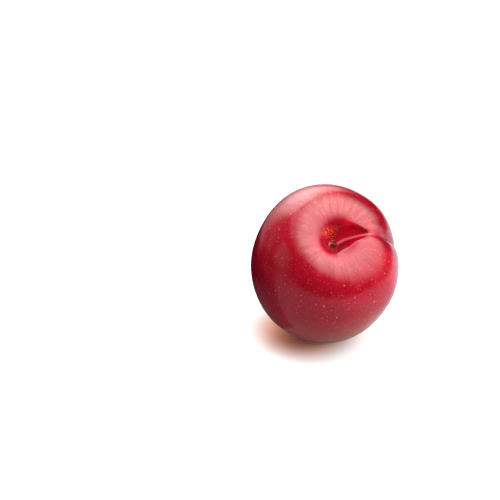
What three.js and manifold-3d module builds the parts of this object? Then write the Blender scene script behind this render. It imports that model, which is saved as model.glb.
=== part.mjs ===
// A ripe red plum with its stalk pulled off, lying on one cheek. The fruit is one solid piece.
// The skin is a body of revolution about the stalk axis, widened across the two cheeks and drawn in
// along the suture, the seam line that runs from the stalk cavity over the shoulder to the tip.
// Millimetres. In the fruit's own axes +Z points out of the stalk cavity and +X at the suture.
// As it lies, the stalk axis leans towards -Y, and the origin is the middle of the resting spot.
import * as THREE from "three";
import { mergeVertices } from "three/addons/utils/BufferGeometryUtils.js";
import Module from "manifold-3d";

// Driving dimensions, before the fruit is laid down.
const waistRadius = 29.5; // mean radius at the waist, the widest ring
const sutureScale = 0.975; // suture to back, against the mean
const cheekScale = 1.042; // cheek to cheek, against the mean
const shoulderRadius = 11.3; // ring of the shoulder's highest points
const shoulderHeight = 26.8; // shoulder above the waist
const scarRadius = 1.7; // rim of the pit that the stalk left
const scarHeight = 19.55; // that rim above the waist
const scarDepth = 2.2;
const tipDepth = 31.45; // tip below the waist
const leanDegrees = 39.1; // stalk axis from the vertical, as the fruit lies
const restSpotDepth = 0.6; // how much the fruit settles on the surface

// Fullness of the half outline: how far each curve heads straight on from its end.
const fullness = {
  tip: 18.2,
  waistDown: 18.8,
  waistUp: 16.9,
  shoulderOut: 9.4,
  shoulderIn: 7,
  rimOut: 0.9,
  rimUp: 0.35,
  pitWall: 0.3,
  pitFloor: 0.8,
};

// Below, a place on the skin is its polar angle from the stalk axis and its turn round that axis
// from the suture, in radians. A turn is below 0 on the front lobe, on the side that the fruit
// leans to. Widths of angles are in radians too, and every other width or reach is in millimetres.

// The suture is a valley with a fine crease along its bottom. A share of each runs on to the tip.
const valley = { depth: 2.2, tipShare: 0.2, polar: 0.82, width: 0.35 };
const valleyFront = { rounding: 0.5, reach: 3.6 };
const valleyBack = { rounding: 1.2, reach: 4.5 };
const crease = { depth: 0.8, tipShare: 0.25, rounding: 0.35, reach: 0.7 };
const creaseWidening = { reach: 0.7, radius: 12, ease: 1.5 }; // of its back side, off the shoulder
const sutureBow = { reach: 1.2, scarFade: 3, radius: 8, fade: 7 }; // towards the back lobe
const shoulderBand = { scarFade: 0.12, polar: 0.45, width: 0.6 }; // where the suture is deepest

// Beside the crease the front lobe stands prouder and the back lobe lower.
const frontLobe = { rise: 0.8, rounding: 1.2 };
const backLobe = { drop: 0.4, rounding: 0.5 };
const lobeReach = 8;
const swellings = [
  { rise: 1, turn: -0.75, polar: 1.12, width: 0.33 },
  { rise: 0.6, turn: 0.5, polar: 0.86, width: 0.33 },
];

// The cavity runs out along the suture by a ramp, and its front wall stands in a little.
const ramp = { slope: 0.62, ease: 0.3, frontReach: 2, frontFlare: 1.8, flareRadius: 4, flareWidth: 3.5 };
const rampBack = { narrowest: 0.6, widest: 3.4, taper: 0.8, endRadius: 12.4 };
const frontWall = { push: 0.7, turn: -1.2, turnWidth: 0.85, radius: 4.5, width: 1.6 };

// The back of the waist is a little flat.
const flatBack = { depth: 0.6, turn: 2.478, turnWidth: 0.42, polar: 1.45, width: 0.5 };

// Mesh density: steps along each stretch of the outline, and meridians, which crowd together
// beside the suture.
const steps = { pit: 5, cavity: 15, shoulder: 20, belly: 13 };
const meridians = 104;
const crowding = 0.66;

const { abs, acos, atan2, cos, exp, hypot, log, max, min, sin, tanh, PI } = Math;

// 1 at the centre and falling off on both sides of it over the width.
const bell = (value, centre, width) => exp(-(((value - centre) / width) ** 2));

// 1 at a distance of 0, rounded there, and falling away over the reach.
const fallAway = (distance, rounding, reach) => exp((rounding - hypot(distance, rounding)) / reach);

// Half outline of the fruit from the middle of the stalk scar to the tip, as [radius, height].
function outline() {
  const at = (radius, height) => new THREE.Vector2(radius, height);
  const pitFloor = scarHeight - scarDepth;
  const pit = [
    at(0, pitFloor),
    at(fullness.pitFloor, pitFloor),
    at(scarRadius - fullness.pitWall, pitFloor),
    at(scarRadius, scarHeight),
  ];
  const cavity = [
    at(scarRadius, scarHeight),
    at(scarRadius + fullness.rimOut, scarHeight + fullness.rimUp),
    at(shoulderRadius - fullness.shoulderIn, shoulderHeight),
    at(shoulderRadius, shoulderHeight),
  ];
  const shoulder = [
    at(shoulderRadius, shoulderHeight),
    at(shoulderRadius + fullness.shoulderOut, shoulderHeight),
    at(waistRadius, fullness.waistUp),
    at(waistRadius, 0),
  ];
  const belly = [
    at(waistRadius, 0),
    at(waistRadius, -fullness.waistDown),
    at(fullness.tip, -tipDepth),
    at(0, -tipDepth),
  ];
  const points = [];
  for (const [ends, count] of [
    [pit, steps.pit],
    [cavity, steps.cavity],
    [shoulder, steps.shoulder],
    [belly, steps.belly],
  ]) {
    points.push(...new THREE.CubicBezierCurve(...ends).getPoints(count).slice(0, -1));
  }
  points.push(belly.at(-1));
  return points.reverse(); // tip first, so that the lathe's faces point out
}

// 1 at the suture, 0 at the fruit's back.
const frontShare = (turn) => (1 + cos(turn)) / 2;

// Distance from the suture over the skin, positive on the back lobe's side.
function fromSuture(radius, height, turn) {
  if (height <= 0) return radius * turn;
  const nearScar = bell(radius, 0, sutureBow.scarFade);
  const bow = (1 - nearScar) * bell(max(radius, sutureBow.radius), sutureBow.radius, sutureBow.fade);
  return radius * turn - sutureBow.reach * bow * frontShare(turn);
}

// How far the suture and the two lobes beside it stand out, along the skin's normal.
function suturePush(radius, height, turn) {
  const polar = atan2(radius, height);
  const across = fromSuture(radius, height, turn);
  const onShoulder = (1 - bell(polar, 0, shoulderBand.scarFade))
    * bell(polar, shoulderBand.polar, shoulderBand.width);
  const toTip = min(1, polar);

  const side = across < 0 ? valleyFront : valleyBack;
  const valleyShare = valley.tipShare * toTip
    + (1 - valley.tipShare) * bell(polar, valley.polar, valley.width);
  const valleyPush = -valley.depth * valleyShare * fallAway(across, side.rounding, side.reach);

  const widened = (1 + tanh((radius - creaseWidening.radius) / creaseWidening.ease)) / 2;
  const creaseReach = across < 0 ? crease.reach : crease.reach + creaseWidening.reach * widened;
  const creaseShare = crease.tipShare * toTip + (1 - crease.tipShare) * onShoulder;
  const creasePush = -crease.depth * creaseShare * fallAway(across, crease.rounding, creaseReach);

  const lobe = across < 0
    ? frontLobe.rise * tanh(-across / frontLobe.rounding)
    : -backLobe.drop * tanh(across / backLobe.rounding);
  return valleyPush + creasePush + onShoulder * lobe * bell(across, 0, lobeReach);
}

// How far the skin stands out, along its normal, from the plain body of revolution.
function skinPush(radius, height, turn) {
  const polar = atan2(radius, height);
  let front = suturePush(radius, height, turn);
  for (const swelling of swellings) {
    front += swelling.rise * bell(turn, swelling.turn, swelling.width)
      * bell(polar, swelling.polar, swelling.width);
  }
  if (height > 0) {
    front += frontWall.push * bell(turn, frontWall.turn, frontWall.turnWidth)
      * bell(radius, frontWall.radius, frontWall.width);
  }
  const fromFlat = acos(cos(turn - flatBack.turn));
  const flat = bell(fromFlat, 0, flatBack.turnWidth) * bell(polar, flatBack.polar, flatBack.width);
  return frontShare(turn) * front - flatBack.depth * flat;
}

// How far the ramp lies below the cavity's wall and the shoulder.
function rampDrop(radius, height, turn) {
  if (height < 0 || radius < scarRadius) return 0;
  const across = fromSuture(radius, height, turn);
  const reach = across < 0
    ? ramp.frontReach + ramp.frontFlare * bell(radius, ramp.flareRadius, ramp.flareWidth)
    : max(rampBack.narrowest, min(rampBack.widest, rampBack.taper * (rampBack.endRadius - radius)));
  const rampHeight = scarHeight + ramp.slope * (radius - scarRadius);
  const drop = ramp.ease * log(1 + exp((height - rampHeight) / ramp.ease));
  return frontShare(turn) * drop * (1 + tanh(reach - abs(across))) / (1 + tanh(reach));
}

function skinGeometry() {
  const geometry = new THREE.LatheGeometry(outline(), meridians);
  const position = geometry.getAttribute("position");
  const normal = geometry.getAttribute("normal");
  for (let i = 0; i < position.count; i++) {
    const [x, height, z] = [position.getX(i), position.getY(i), position.getZ(i)];
    const radius = hypot(x, z);
    // LatheGeometry turns about Y, and its first and last columns share the back of the fruit.
    const evenTurn = atan2(-x, -z);
    const turn = evenTurn - crowding * sin(evenTurn);
    const push = skinPush(radius, height, turn);
    const outward = radius > 0 ? (normal.getX(i) * x + normal.getZ(i) * z) / radius : 0;
    const pushedRadius = radius + push * outward;
    const pushedHeight = height + push * normal.getY(i) - rampDrop(radius, height, turn);
    position.setXYZ(
      i,
      pushedRadius * cos(turn) * sutureScale,
      pushedRadius * sin(turn) * cheekScale,
      pushedHeight,
    );
  }
  return geometry;
}

const mergeDistance = 1e-4;
const slabSize = 80;
const slabThickness = 20;

const wasm = await Module();
wasm.setup();

// A closed surface whose doubled points are merged, without the slivers at the poles.
function toSolid(geometry) {
  const bare = geometry.clone().deleteAttribute("normal").deleteAttribute("uv");
  const merged = mergeVertices(bare, mergeDistance);
  const index = merged.index.array;
  const kept = [];
  for (let i = 0; i < index.length; i += 3) {
    const [a, b, c] = [index[i], index[i + 1], index[i + 2]];
    if (a !== b && b !== c && c !== a) kept.push(a, b, c);
  }
  return new wasm.Manifold(new wasm.Mesh({
    numProp: 3,
    vertProperties: merged.attributes.position.array,
    triVerts: new Uint32Array(kept),
  }));
}

function toGeometry(solid) {
  const mesh = solid.getMesh();
  const geometry = new THREE.BufferGeometry();
  geometry.setAttribute("position", new THREE.BufferAttribute(mesh.vertProperties, 3));
  geometry.setIndex(new THREE.BufferAttribute(mesh.triVerts, 1));
  geometry.computeVertexNormals();
  return geometry;
}

// The fruit leans over, and is set down on a flat spot under its weight.
function lyingFruit() {
  const geometry = skinGeometry();
  geometry.rotateX(leanDegrees * PI / 180);
  geometry.computeBoundingBox();
  const lowest = geometry.boundingBox.min.z;
  geometry.translate(0, 0, -lowest - restSpotDepth);
  const slab = new THREE.BoxGeometry(slabSize, slabSize, slabThickness);
  slab.translate(0, 0, -slabThickness / 2);
  return toSolid(geometry).subtract(toSolid(slab));
}

const flesh = new THREE.MeshStandardMaterial({ color: 0x9c1428, roughness: 0.32, metalness: 0 });
const plum = new THREE.Mesh(toGeometry(lyingFruit()), flesh);
plum.name = "plum";

const part = new THREE.Group();
part.add(plum);
export default part;
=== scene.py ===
from math import acos, atan2, cos, exp, hypot, log, radians, tanh

import bpy
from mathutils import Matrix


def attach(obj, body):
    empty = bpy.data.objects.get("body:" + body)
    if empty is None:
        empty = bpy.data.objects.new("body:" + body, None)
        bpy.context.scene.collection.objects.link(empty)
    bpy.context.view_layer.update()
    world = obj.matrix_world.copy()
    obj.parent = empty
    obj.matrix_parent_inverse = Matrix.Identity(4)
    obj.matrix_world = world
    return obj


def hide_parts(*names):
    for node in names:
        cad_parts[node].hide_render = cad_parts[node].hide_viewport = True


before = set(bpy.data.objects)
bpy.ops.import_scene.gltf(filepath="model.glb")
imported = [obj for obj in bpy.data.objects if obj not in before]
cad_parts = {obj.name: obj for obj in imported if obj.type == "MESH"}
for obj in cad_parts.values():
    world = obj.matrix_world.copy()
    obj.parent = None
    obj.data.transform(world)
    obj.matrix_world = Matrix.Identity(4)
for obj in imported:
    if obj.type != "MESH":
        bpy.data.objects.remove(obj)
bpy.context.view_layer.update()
bpy.ops.object.select_all(action="DESELECT")

# ------------------------------------------------------------------ the plum
# A red dessert plum, picked with its stalk pulled off. It grew as one piece, so its whole
# skin is one closed surface: half of its outline, from the tip to the pit of the stalk
# scar, is spun round the stalk's axis, creased along the suture and laid on its side.

# The upright fruit, in millimetres: out from the stalk's axis, and up from the waist.
mm = 0.001
waist_radius = 29.5
waist_fullness_below = 18.8
waist_fullness_above = 16.9
shoulder_radius = 11.3
shoulder_height = 26.8
shoulder_roundness_outside = 9.4
shoulder_roundness_inside = 7.0
scar_radius = 1.7
scar_height = 19.55
scar_depth = 2.2
scar_lip = (0.9, 0.35)
scar_undercut = 0.3
scar_floor_flatness = 0.8
tip_depth = 31.45
tip_flatness = 18.2

# How it is narrowed, lengthened and laid down.
width_share = 0.975
length_share = 1.042
lean = radians(39.1)
rest_spot_depth = 0.6 * mm

# Knots of the half outline: its place, then the ends of the two handles.
scar_floor = scar_height - scar_depth
outline_knots = [
    ((0, -tip_depth), (-tip_flatness, -tip_depth), (tip_flatness, -tip_depth)),
    ((waist_radius, 0), (waist_radius, -waist_fullness_below), (waist_radius, waist_fullness_above)),
    ((shoulder_radius, shoulder_height), (shoulder_radius + shoulder_roundness_outside, shoulder_height),
     (shoulder_radius - shoulder_roundness_inside, shoulder_height)),
    ((scar_radius, scar_height), (scar_radius + scar_lip[0], scar_height + scar_lip[1]),
     (scar_radius - scar_undercut, scar_floor)),
    ((0, scar_floor), (scar_floor_flatness, scar_floor), (-scar_floor_flatness, scar_floor)),
]
points_between_knots = 40

bpy.ops.curve.primitive_bezier_curve_add()
plum = bpy.context.object
plum.name = "plum_skin_and_flesh"
bpy.ops.object.mode_set(mode="EDIT")
bpy.ops.curve.select_all(action="SELECT")
bpy.ops.curve.subdivide(number_cuts=len(outline_knots) - 2)
bpy.ops.object.mode_set(mode="OBJECT")
half_outline = plum.data.splines[0]
half_outline.resolution_u = points_between_knots
for knot, (place, before, after) in zip(half_outline.bezier_points, outline_knots):
    knot.handle_left_type = knot.handle_right_type = "FREE"
    knot.co = (place[0] * mm, 0, place[1] * mm)
    knot.handle_left = (before[0] * mm, 0, before[1] * mm)
    knot.handle_right = (after[0] * mm, 0, after[1] * mm)
bpy.ops.object.convert(target="MESH")

# Round the axis, in degrees and steps: close steps on each side of the suture, wider ones between.
beside_suture = (20, 60)
over_the_rest = (320, 200)
same_point = 0.0005 * mm
bpy.ops.object.mode_set(mode="EDIT")
bpy.ops.mesh.select_all(action="SELECT")
for sweep, steps in (beside_suture, over_the_rest, beside_suture):
    bpy.ops.mesh.spin(steps=steps, angle=radians(sweep), center=(0, 0, 0), axis=(0, 0, 1))
bpy.ops.mesh.select_all(action="SELECT")
bpy.ops.mesh.remove_doubles(threshold=same_point)
bpy.ops.mesh.normals_make_consistent(inside=False)
bpy.ops.object.mode_set(mode="OBJECT")

# What grew in the skin. Radius, height and distances over the skin are in millimetres. Turn is the
# angle round the axis from the suture, less than 0 on its near side, and polar is the angle down
# from the stalk end, both in radians. A hump's width is in the unit of the value that it follows.


def pushed(name, distance, share, direction="NORMAL"):
    """Moves the skin along its normals, or up, by the full distance where the share is 1."""
    group = plum.vertex_groups.new(name=name)
    for vertex in plum.data.vertices:
        x, y, height = (1000 * c for c in vertex.co)
        radius = hypot(x, y)
        group.add([vertex.index], share(radius, height, atan2(y, x)), "REPLACE")
    push = plum.modifiers.new(name, "DISPLACE")
    push.direction = direction
    push.mid_level = 0
    push.strength = distance * mm
    push.vertex_group = name
    bpy.ops.object.modifier_apply(modifier=name)


def hump(value, middle, width):
    """1 at the middle, and smoothly down to 0 on both sides."""
    return exp(-(((value - middle) / width) ** 2))


def fallen_away(across, rounding, width):
    """1 on the suture, less on either side of it, with a rounded top."""
    return exp(-(hypot(across, rounding) - rounding) / width)


def suture_side(turn):
    """1 along the suture, 0 on the opposite side of the fruit."""
    return cos(turn / 2) ** 2


suture_bow = 1.2
bow_start_width = 3
bow_full_radius = 8
bow_end_width = 7


def from_suture(radius, height, turn):
    """Distance from the suture over the skin; its line bows a little on the shoulder."""
    if height <= 0:
        return radius * turn
    bow = suture_bow * (1 - hump(radius, 0, bow_start_width))
    bow *= hump(max(bow_full_radius, radius), bow_full_radius, bow_end_width)
    return radius * turn - bow * suture_side(turn)


def on_shoulder(radius, height):
    """1 where the suture crosses the shoulder, 0 at the scar and far from the cavity."""
    polar = atan2(radius, height)
    return (1 - hump(polar, 0, 0.12)) * hump(polar, 0.45, 0.6)


notch_depth = 3
ramp_slope = 0.62
ramp_rounding = 0.3
near_reach = 2.0
near_flare = 1.8
flare_radius = 4.0
flare_width = 3.5
far_reach_least = 0.6
far_reach_most = 3.4
far_narrowing = 0.8
notch_end_radius = 12.4


def notch(radius, height, turn):
    """The cavity runs out along the suture by a straight ramp that narrows to a V."""
    if height < 0 or radius < scar_radius:
        return 0
    across = from_suture(radius, height, turn)
    if across < 0:
        reach = near_reach + near_flare * hump(radius, flare_radius, flare_width)
    else:
        reach = max(far_reach_least, min(far_reach_most, far_narrowing * (notch_end_radius - radius)))
    ramp = scar_height + ramp_slope * (radius - scar_radius)
    drop = ramp_rounding * log(1 + exp((height - ramp) / ramp_rounding)) / notch_depth
    return suture_side(turn) * drop * (1 + tanh(reach - abs(across))) / (1 + tanh(reach))


valley_depth = 2.2
valley_share_at_tip = 0.2
valley_polar = 0.82
valley_length = 0.35
near_slope_rounding = 0.5
near_slope_width = 3.6
far_slope_rounding = 1.2
far_slope_width = 4.5


def valley(radius, height, turn):
    """The broad valley between the two lobes, deepest on the outer shoulder."""
    across = from_suture(radius, height, turn)
    polar = atan2(radius, height)
    depth = valley_share_at_tip * min(1, polar)
    depth += (1 - valley_share_at_tip) * hump(polar, valley_polar, valley_length)
    if across < 0:
        return suture_side(turn) * depth * fallen_away(across, near_slope_rounding, near_slope_width)
    return suture_side(turn) * depth * fallen_away(across, far_slope_rounding, far_slope_width)


crease_depth = 0.8
crease_share_at_tip = 0.25
crease_rounding = 0.35
crease_width = 0.7
crease_widening = 0.35
widening_radius = 12
widening_length = 1.5


def crease(radius, height, turn):
    """The narrow crease in the valley, wider on its far side past the shoulder."""
    across = from_suture(radius, height, turn)
    depth = crease_share_at_tip * min(1, atan2(radius, height))
    depth += (1 - crease_share_at_tip) * on_shoulder(radius, height)
    width = crease_width
    if across >= 0:
        width += crease_widening * (1 + tanh((radius - widening_radius) / widening_length))
    return suture_side(turn) * depth * fallen_away(across, crease_rounding, width)


near_lobe_rise = 0.8
near_lobe_rounding = 1.2
far_lobe_drop = 0.4
far_lobe_rounding = 0.5
lobe_reach = 8


def near_lobe(radius, height, turn):
    """The near lobe stands prouder than the far one where the suture crosses the shoulder."""
    across = from_suture(radius, height, turn)
    step = max(0, tanh(-across / near_lobe_rounding)) * hump(across, 0, lobe_reach)
    return suture_side(turn) * on_shoulder(radius, height) * step


def far_lobe(radius, height, turn):
    """The far lobe is a little lower on its side of the same line."""
    across = from_suture(radius, height, turn)
    step = max(0, tanh(across / far_lobe_rounding)) * hump(across, 0, lobe_reach)
    return suture_side(turn) * on_shoulder(radius, height) * step


near_wall_rise = 0.7
ridge_rise = 0.12
flat_back_depth = 0.6
flat_back_turn = radians(142)
swelling_rise = 1.0
far_swelling_share = 0.6


def near_wall(radius, height, turn):
    """The cavity's wall is fuller on the near side."""
    if height < 0:
        return 0
    return suture_side(turn) * hump(turn, -1.2, 0.85) * hump(radius, 4.5, 1.6)


def ridge(radius, height, turn):
    """A faint ridge runs round part of the cavity's far wall."""
    if height < 0:
        return 0
    return exp(-(((turn - 2.35) / 0.55) ** 4)) * hump(radius, 5.5, 0.28)


def flat_back(radius, height, turn):
    """The fruit is a little flatter high up at the back, on the left."""
    from_flat = acos(cos(turn - flat_back_turn))
    return hump(from_flat, 0, 0.42) * hump(atan2(radius, height), 1.45, 0.5)


def lobe_swelling(radius, height, turn):
    """Each lobe swells beside the suture, the near one lower down than the far one."""
    polar = atan2(radius, height)
    near = hump(turn, -0.75, 0.33) * hump(polar, 1.12, 0.33)
    far = hump(turn, 0.50, 0.33) * hump(polar, 0.86, 0.33)
    return suture_side(turn) * (near + far_swelling_share * far)


pushed("lobe swelling", swelling_rise, lobe_swelling)
pushed("near wall", near_wall_rise, near_wall)
pushed("ridge", ridge_rise, ridge)
pushed("flat back", -flat_back_depth, flat_back)
pushed("cavity notch", -notch_depth, notch, "Z")
pushed("suture valley", -valley_depth, valley)
pushed("suture crease", -crease_depth, crease)
pushed("near lobe", near_lobe_rise, near_lobe)
pushed("far lobe", -far_lobe_drop, far_lobe)
plum.vertex_groups.clear()

# It lies on its cheek, which is pressed flat where it rests.
bpy.ops.object.mode_set(mode="EDIT")
bpy.ops.mesh.select_all(action="SELECT")
bpy.ops.transform.resize(value=(width_share, length_share, 1), center_override=(0, 0, 0))
bpy.ops.transform.rotate(value=-lean, orient_axis="X", center_override=(0, 0, 0))
bpy.ops.object.mode_set(mode="OBJECT")
waist_above_table = -min(vertex.co.z for vertex in plum.data.vertices) - rest_spot_depth
bpy.ops.object.mode_set(mode="EDIT")
bpy.ops.transform.translate(value=(0, 0, waist_above_table))
bpy.ops.mesh.select_all(action="DESELECT")
bpy.ops.object.mode_set(mode="OBJECT")
for vertex in plum.data.vertices:
    vertex.select = vertex.co.z < 0
bpy.ops.object.mode_set(mode="EDIT")
bpy.ops.transform.resize(value=(1, 1, 0), center_override=(0, 0, 0))
bpy.ops.mesh.select_all(action="SELECT")
bpy.ops.mesh.normals_make_consistent(inside=False)
bpy.ops.object.mode_set(mode="OBJECT")
bpy.ops.object.shade_smooth()

# The skin: thin, smooth and glossy under a little wax, deep crimson with pale breathing
# pores, and fine streaks that run out of the stalk cavity.
upper_crimson = (0.265, 0.0003, 0.007, 1)
lower_crimson = (0.215, 0.0006, 0.024, 1)
cloud_red = (0.36, 0.0009, 0.019, 1)
streak_red = (0.36, 0.005, 0.012, 1)
grain_red = (0.46, 0.003, 0.030, 1)
unripe_orange = (0.50, 0.10, 0.035, 1)
cavity_crimson = (0.22, 0.0002, 0.011, 1)
notch_red = (0.50, 0.0003, 0.012, 1)
near_lobe_red = (0.37, 0.001, 0.015, 1)
wall_red = (0.54, 0.002, 0.006, 1)
fleck_ochre = (1.0, 0.36, 0.08, 1)
pore_pink = (0.86, 0.30, 0.26, 1)
# The next four colours are painted light and shade: highlights on the suture's crease and its lip, and shade
# on the far lobe's outer shoulder and on the side away from the suture.
painted_crease_highlight = (0.80, 0.20, 0.25, 1)
painted_lip_highlight = (0.75, 0.16, 0.21, 1)
painted_shoulder_shade = (0.58, 0.48, 0.62, 1)
painted_away_shade = (0.74, 0.66, 0.78, 1)
scar_brown = (0.22, 0.0005, 0.001, 1)
scar_fibre = (0.30, 0.003, 0.002, 1)
# Painted light: the far wall of the scar's pit, coloured paler where light falls on it.
painted_lit_scar_wall = (0.95, 0.60, 0.55, 1)
scar_rim_tan = (0.60, 0.16, 0.04, 1)
skin_roughness = 0.21
scar_roughness = 1.0
skin_ior = 1.47
wax_share = 0.32
wax_roughness = 0.15
flesh_glow = 0.15
flesh_glow_spread = (1.0, 0.15, 0.08)
flesh_glow_depth = 1.5 * mm
unevenness = 0.25
orange_peel = 0.0025
streak_relief = 0.10

skin = bpy.data.materials.new("plum_skin")
skin.use_nodes = True
plum.data.materials.clear()
plum.data.materials.append(skin)
tree = skin.node_tree
tree.nodes.clear()


def new_node(kind, inputs=(), **settings):
    """A node in the tree in hand, with what goes into each socket: a value or another's output."""
    made = tree.nodes.new(kind)
    for name, value in settings.items():
        setattr(made, name, value)
    for socket, value in dict(inputs).items():
        if isinstance(value, bpy.types.NodeSocket):
            tree.links.new(value, made.inputs[socket])
        else:
            made.inputs[socket].default_value = value
    return made


def worked_out(operation, *values):
    return new_node("ShaderNodeMath", enumerate(values), operation=operation).outputs[0]


def all_of(first, *others):
    """Masks multiplied together."""
    for mask in others:
        first = worked_out("MULTIPLY", first, mask)
    return first


def eased(value, start, end, low=0.0, high=1.0):
    """Low at the start and high at the end, with a soft change between."""
    return new_node("ShaderNodeMapRange", {0: value, 1: start, 2: end, 3: low, 4: high},
                    interpolation_type="SMOOTHSTEP").outputs[0]


def within(value, start, full, fading, end):
    """A band: 1 from full to fading, and 0 before the start and past the end."""
    return all_of(eased(value, start, full), eased(value, fading, end, 1, 0))


def blended(amount, under, over, how="MIX"):
    mix = new_node("ShaderNodeMix", {0: amount, 6: under, 7: over}, data_type="RGBA", blend_type=how)
    return mix.outputs[2]


def noise(place, scale, detail, roughness=0.5):
    return new_node("ShaderNodeTexNoise", {"Vector": place, "Scale": scale, "Detail": detail,
                                           "Roughness": roughness}).outputs["Fac"]


def vector(operation, inputs, output=0):
    return new_node("ShaderNodeVectorMath", inputs, operation=operation).outputs[output]


# Fruit axes in millimetres, with the stalk end up and the suture along +X. Angles are in radians.
on_fruit = new_node("ShaderNodeTexCoord").outputs["Object"]
fruit = new_node("ShaderNodeMapping", {"Vector": on_fruit, "Location": (0, 0, waist_above_table),
                                       "Rotation": (lean, 0, 0), "Scale": (mm, mm, mm)},
                 vector_type="TEXTURE").outputs[0]
axes = new_node("ShaderNodeSeparateXYZ", {0: fruit})
height = axes.outputs[2]
flat = vector("MULTIPLY", {0: fruit, 1: (1, 1, 0)})
radius = vector("LENGTH", {0: flat}, "Value")
around = vector("NORMALIZE", {0: flat})
polar = worked_out("ARCTAN2", radius, height)
turn = worked_out("ARCTAN2", axes.outputs[1], axes.outputs[0])
stalk_half = worked_out("GREATER_THAN", height, 0.0)

# Streaks that run along the meridians out of the cavity.
streaks_round = vector("SCALE", {0: around, "Scale": 16.0})
streaks_out = new_node("ShaderNodeCombineXYZ", {2: worked_out("MULTIPLY", radius, 0.10)}).outputs[0]
streaks = noise(vector("ADD", {0: streaks_round, 1: streaks_out}), scale=1.0, detail=2.0, roughness=0.6)
round_stalk_end = eased(polar, 0.45, 1.15, 1, 0)

# Ground colour: crimson above, more purple below, clouded, streaked and grained with brighter red.
low_end = eased(worked_out("ADD", polar, noise(fruit, scale=0.06, detail=3.0)), 1.5, 2.5)
colour = blended(low_end, upper_crimson, lower_crimson)
clouds = noise(fruit, scale=0.16, detail=4.0, roughness=0.6)
colour = blended(eased(clouds, 0.45, 0.72, 0, 0.6), colour, cloud_red)
colour = blended(all_of(eased(streaks, 0.42, 0.66), round_stalk_end, 0.4), colour, streak_red)
grain = noise(fruit, scale=1.6, detail=3.0, roughness=0.7)
colour = blended(eased(grain, 0.42, 0.75, 0, 0.35), colour, grain_red)

# Round the shoulder, away from the suture, the red is thin in places and unripe ground shows.
thin_red = all_of(eased(noise(fruit, scale=0.22, detail=2.0), 0.5, 0.68), within(polar, 0.28, 0.4, 0.42, 0.6))
off_suture = eased(new_node("ShaderNodeSeparateXYZ", {0: around}).outputs[0], 0.6, 0.9, 0.3, 0)
colour = blended(all_of(thin_red, off_suture), colour, unripe_orange)

# The cavity is deep crimson. The notch beside the suture and the near lobe's edge are brighter.
in_notch = within(turn, 0.02, 0.12, 0.75, 1.35)
notch_run = worked_out("MULTIPLY_ADD", turn, 3.0, radius)
notch_end = all_of(in_notch, eased(notch_run, 11.2, 12.3, 0.9, 0), stalk_half)
in_cavity = worked_out("MAXIMUM", all_of(eased(radius, 5.0, 8.5, 0.75, 0), stalk_half), notch_end)
colour = blended(in_cavity, colour, blended(in_notch, cavity_crimson, notch_red))
on_near_lobe = all_of(within(turn, -1.9, -1.0, -0.24, -0.12), within(radius, 5.0, 6.2, 8.5, 14.0), stalk_half)
colour = blended(on_near_lobe, colour, near_lobe_red)

# Yellow ground shows through on the cavity's wall behind the scar, in flecks and fine arcs.
wall_bearing = (-0.34, 0.94, 0)
facing_wall = vector("DOT_PRODUCT", {0: around, 1: wall_bearing}, "Value")
on_wall = all_of(eased(radius, 4.6, 6.4, 1, 0), eased(facing_wall, 0.55, 0.97), stalk_half)
colour = blended(all_of(on_wall, 0.6), colour, wall_red)
arcs = all_of(worked_out("SINE", all_of(radius, 11.0)), 0.05)
flecks = eased(worked_out("ADD", noise(fruit, scale=1.3, detail=5.0, roughness=0.75), arcs), 0.57, 0.63)
colour = blended(all_of(on_wall, flecks, 0.8), colour, fleck_ochre)


# Breathing pores: pale specks, the larger ones 3 to 4 mm apart with finer ones between.
def pores(per_mm, size, odds, channel, paleness):
    """One size of speck, of which a share, the odds, is left out by chance."""
    cells = new_node("ShaderNodeTexVoronoi", {"Vector": fruit, "Scale": per_mm, "Randomness": 1.0})
    chance = new_node("ShaderNodeSeparateColor", {0: cells.outputs["Color"]}).outputs[channel]
    from_middle = worked_out("MULTIPLY", cells.outputs["Distance"], 1 / per_mm)
    edge = worked_out("DIVIDE", from_middle, eased(chance, odds, 1.0, size * 0.6, size))
    return all_of(eased(edge, 0.45, 1.0, 1, 0), worked_out("GREATER_THAN", chance, odds), paleness)


large_pores = pores(per_mm=0.40, size=0.36, odds=0.45, channel=0, paleness=0.50)
small_pores = pores(per_mm=0.75, size=0.27, odds=0.45, channel=1, paleness=0.34)
fine_pores = pores(per_mm=1.3, size=0.20, odds=0.30, channel=2, paleness=0.24)
pore = worked_out("MAXIMUM", worked_out("MAXIMUM", large_pores, small_pores), fine_pores)
pore = all_of(pore, eased(polar, 0.35, 0.95, 0.45, 1.0), eased(polar, 1.05, 1.45, 1.2, 0.15))
colour = blended(pore, colour, pore_pink)

# A painted highlight: the suture's crease is a soft paler line from the scar over the shoulder,
# where it catches light.
line_bow = all_of(eased(radius, 0.0, 5.0, 0.0, 1.28), eased(radius, 8.0, 20.0, 1, 0))
across = worked_out("SUBTRACT", worked_out("MULTIPLY", radius, turn), line_bow)
crease_highlight_mask = all_of(eased(worked_out("ABSOLUTE", across), 0.1, 0.85, 1, 0), eased(radius, 11.0, 16.0, 1, 0))
colour = blended(all_of(crease_highlight_mask, stalk_half, 0.5), colour, painted_crease_highlight)

# The far lobe is darkened by painted shade over its outer shoulder, and a painted highlight makes
# its lip on the crease paler. The side away from the suture is darkened by painted shade too.
shaded_outer_shoulder = all_of(within(turn, -0.42, -0.17, 0.9, 1.5), within(polar, 0.50, 0.66, 1.1, 1.6))
colour = blended(shaded_outer_shoulder, colour, painted_shoulder_shade, "MULTIPLY")
lip_highlight_mask = all_of(within(across, 0.2, 1.2, 3.4, 5.4), within(radius, 12.5, 15.0, 19.0, 21.5), stalk_half)
colour = blended(all_of(lip_highlight_mask, 0.18), colour, painted_lip_highlight)
shaded_away_side = all_of(eased(worked_out("ABSOLUTE", turn), 2.2, 2.8), eased(polar, 0.98, 1.35))
colour = blended(shaded_away_side, colour, painted_away_shade, "MULTIPLY")
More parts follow.
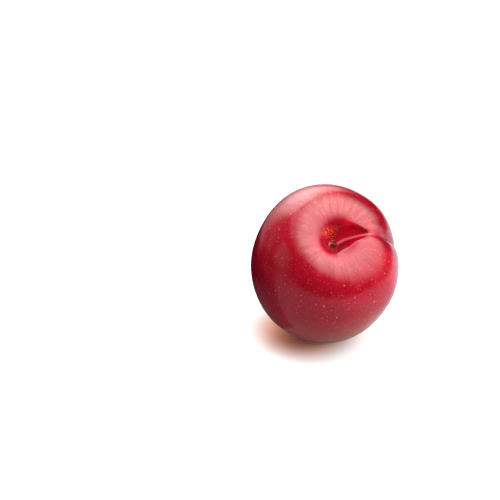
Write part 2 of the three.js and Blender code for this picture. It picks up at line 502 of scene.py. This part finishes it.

# The scar: the torn end of the stalk's bundle, dry and dark, and paler on its rim. Its far wall in
# the pit is painted paler: painted light where light falls on it.
torn_end = blended(eased(noise(fruit, scale=3.0, detail=3.0), 0.35, 0.65), scar_brown, scar_fibre)
lit_scar_wall_mask = all_of(eased(axes.outputs[1], 0.2, 0.9), eased(height, 17.5, 18.2))
torn_end = blended(lit_scar_wall_mask, torn_end, painted_lit_scar_wall)
colour = blended(all_of(eased(radius, 1.50, 1.66, 1, 0), stalk_half), colour, torn_end)
from_rim = worked_out("ABSOLUTE", worked_out("SUBTRACT", radius, 1.68))
colour = blended(all_of(eased(from_rim, 0.0, 0.20, 1, 0), stalk_half, 0.30), colour, scar_rim_tan)

# The wax is streaky round the stalk end and even elsewhere. The scar is dull and has none.
at_scar = all_of(eased(radius, 1.70, 2.10, 1, 0), stalk_half)
dullness = eased(at_scar, 0.0, 1.0, skin_roughness, scar_roughness)
wax = worked_out("MULTIPLY_ADD", eased(streaks, 0.35, 0.65, -0.17, 0.18), round_stalk_end, wax_share)
wax = all_of(wax, worked_out("SUBTRACT", 1.0, at_scar))

# Relief in millimetres: slow unevenness, orange peel and streaks.
relief = all_of(noise(fruit, scale=0.13, detail=1.0), unevenness)
relief = worked_out("MULTIPLY_ADD", noise(fruit, scale=0.9, detail=3.0, roughness=0.6), orange_peel, relief)
relief = worked_out("MULTIPLY_ADD", all_of(streaks, round_stalk_end), streak_relief, relief)
skin_bump = new_node("ShaderNodeBump", {"Strength": 1.0, "Distance": mm, "Height": relief}).outputs[0]

glossy_skin = new_node("ShaderNodeBsdfPrincipled", {
    "Base Color": colour, "Roughness": dullness, "IOR": skin_ior, "Normal": skin_bump,
    "Subsurface Weight": flesh_glow, "Subsurface Radius": flesh_glow_spread,
    "Subsurface Scale": flesh_glow_depth, "Coat Weight": wax, "Coat Roughness": wax_roughness})
new_node("ShaderNodeOutputMaterial", {"Surface": glossy_skin.outputs[0]})

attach(plum, "root")
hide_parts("plum")

# ------------------------------------------------------------------ the table
# A sheet of smooth white board, cut straight, which ends 13 cm in front of the fruit.
# The camera sees it white, with a painted tan in the shadow by the fruit that stands in for red
# light bounced from the skin. Mirrored in the skin it is grey, with painted light and shade.

board_size = (1.2, 0.75, 1)
board_middle = (0.03, 0.21, 0)
painted_shadow_tan = (1.0, 0.40, 0.24, 1)
board_white = (0.96, 0.96, 0.94, 1)
board_bounce = (0.45, 0.42, 0.42, 1)
mirrored_mauve = (1.02, 0.92, 1.06, 1)
mirrored_tan = (1.05, 0.95, 0.78, 1)
shadow_to_origin = (0.008, -0.002, 0)
flank_to_origin = (0.022, 0.015, 0)

bpy.ops.mesh.primitive_plane_add(size=1, location=(0, 0, 0))
table = bpy.context.object
table.name = "table"
bpy.ops.object.mode_set(mode="EDIT")
bpy.ops.transform.resize(value=board_size)
bpy.ops.transform.translate(value=board_middle)
bpy.ops.object.mode_set(mode="OBJECT")
board = bpy.data.materials.new("table_board")
board.use_nodes = True
table.data.materials.append(board)
tree = board.node_tree
tree.nodes.clear()

# Distances in metres: from the origin, from the middle of the shadow, and from the foot of the
# left flank.
on_board = new_node("ShaderNodeTexCoord").outputs["Object"]
from_origin = vector("LENGTH", {0: on_board}, "Value")
from_shadow = vector("LENGTH", {0: vector("ADD", {0: on_board, 1: shadow_to_origin})}, "Value")
from_flank = vector("ADD", {0: on_board, 1: flank_to_origin})
flank_distance = vector("LENGTH", {0: from_flank}, "Value")
flank_axes = new_node("ShaderNodeSeparateXYZ", {0: from_flank})
rightward = flank_axes.outputs[0]
backward = flank_axes.outputs[1]
bearing = worked_out("ARCTAN2", backward, rightward)

# The mirrored board has a dark patch of painted shade that fans out behind on the left, in two
# sectors.
near_sector = all_of(eased(bearing, 1.33, 1.50), eased(flank_distance, 0.16, 0.26, 1, 0))
painted_shade_patch = worked_out("MAXIMUM", near_sector, eased(bearing, 2.05, 2.35))
painted_shade_patch = all_of(painted_shade_patch, eased(bearing, 3.00, 3.10, 1, 0), eased(flank_distance, 0.025, 0.07, 0.72, 1))

# Its grey is painted light and shade: paler to the right, behind on the right and under the fruit,
# where its shadow falls, and darker in front on the right and at the far right.
grey = eased(rightward, -0.02, 0.06, 0.15, 0.30)
behind_right = all_of(eased(rightward, 0.045, 0.10), eased(backward, 0.0, 0.06))
grey = worked_out("MULTIPLY_ADD", behind_right, 0.10, grey)
grey = worked_out("MULTIPLY_ADD", eased(from_origin, 0.012, 0.045, 1, 0), 0.20, grey)
grey = all_of(grey, worked_out("SUBTRACT", 1.0, painted_shade_patch), eased(rightward, 0.20, 0.28, 1, 0.06))
in_front = all_of(eased(rightward, 0.01, 0.05), eased(backward, -0.03, -0.09, 0, -0.35))
grey = worked_out("MULTIPLY_ADD", in_front, grey, grey)
tinge = blended(eased(from_origin, 0.015, 0.055, 1, 0), mirrored_mauve, mirrored_tan)
mirrored = vector("SCALE", {0: tinge, "Scale": grey})

# Painted light: near the fruit the board is tinted tan, for red light bounced into its shadow.
seen_straight = blended(eased(from_shadow, 0.007, 0.024), painted_shadow_tan, board_white)
ray = new_node("ShaderNodeLightPath")
tone = blended(ray.outputs["Is Glossy Ray"], board_bounce, mirrored)
tone = blended(ray.outputs["Is Camera Ray"], tone, seen_straight)
matt = new_node("ShaderNodeBsdfDiffuse", {"Color": tone})
new_node("ShaderNodeOutputMaterial", {"Surface": matt.outputs[0]})

# ------------------------------------------------------------------ light
# A long soft box leans over the fruit from the right, and a white card stands lit behind it.
# A small lamp fills the right, a faint strip stands on the left, and the room adds little.


def hung(name, place, turned, width, length):
    """A lamp of a width and a length in metres, turned by three angles in degrees."""
    bpy.ops.object.light_add(type="AREA", location=place, rotation=[radians(angle) for angle in turned])
    lamp = bpy.context.object
    lamp.name = name
    lamp.visible_camera = False
    lamp.data.shape = "RECTANGLE"
    lamp.data.size = width
    lamp.data.size_y = length
    lamp.data.energy = 1
    return lamp


soft_box = hung("soft_box", (0.1066, -0.0041, 0.4933), (30.13, 4.36, 62.27), 0.96, 1.665)
back_card = hung("back_card", (-0.224, 0.444, 0.298), (-90, -20, 7.5), 1.10, 1.10)
left_strip = hung("left_strip", (-0.40, -0.02, 0.20), (0, -90, 0), 0.42, 0.32)
low_fill = hung("low_fill", (0.40, -0.16, 0.10), (0, 80, -20), 0.25, 0.25)
low_fill.visible_glossy = False
low_fill.data.energy = 1.7

# All but the small lamp glow less towards their edges. A fall names the side that it runs along,
# the point where it ends, the point where it begins, and the share of the glow left at its end.
glows = (
    (soft_box, 23.5, (("Y", -0.02, 0.48, 0.05), ("Y", 0.80, 0.53, 0.27),
                      ("X", 0.0, 0.40, 0.29), ("X", 0.94, 0.60, 0.20))),
    (back_card, 19.5, (("X", 0.32, 0.67, 0.04), ("X", 1.0, 0.74, 0.0),
                       ("Y", 0.87, 0.47, 0.0), ("Y", 0.0, 0.37, 0.64))),
    (left_strip, 0.18, (("Y", 0.0, 0.4, 0.0), ("Y", 1.0, 0.6, 0.0),
                        ("X", 0.0, 0.3, 0.0), ("X", 1.0, 0.7, 0.0))),
)
for lamp, strength, falls in glows:
    lamp.data.use_nodes = True
    tree = lamp.data.node_tree
    over_lamp = new_node("ShaderNodeNewGeometry").outputs["Parametric"]
    sides = new_node("ShaderNodeSeparateXYZ", {0: over_lamp})
    glow = strength
    for side, fall_end, fall_start, share_left in falls:
        glow = all_of(eased(sides.outputs[side], fall_end, fall_start, share_left, 1.0), glow)
    tree.links.new(glow, tree.nodes["Emission"].inputs["Strength"])

# The room: white where the camera sees it, weak in the light that it throws, and not mirrored.
room_light = 0.45
room = bpy.data.worlds.new("room")
bpy.context.scene.world = room
room.use_nodes = True
tree = room.node_tree
tree.nodes.clear()
ray = new_node("ShaderNodeLightPath")
room_glow = worked_out("MULTIPLY_ADD", ray.outputs["Is Diffuse Ray"], room_light,
                       ray.outputs["Is Camera Ray"])
walls = new_node("ShaderNodeBackground", {"Color": (1, 1, 1, 1), "Strength": room_glow})
new_node("ShaderNodeOutputWorld", {"Surface": walls.outputs[0]})
bpy.context.scene.view_settings.view_transform = "Standard"

# ------------------------------------------------------------------ camera
# A still camera with a long lens, about half a metre off. It looks down on the fruit from the
# front, a little from the left.

camera_place = (-0.11581, -0.43596, 0.28971)
camera_turn = (radians(60.756), 0, radians(-11.178))
focal_length = 95.1
film_width = 36
nearest_seen = 0.01
bpy.ops.object.camera_add(location=camera_place, rotation=camera_turn)
camera = bpy.context.object
camera.data.lens = focal_length
camera.data.sensor_width = film_width
camera.data.clip_start = nearest_seen
bpy.context.scene.camera = camera
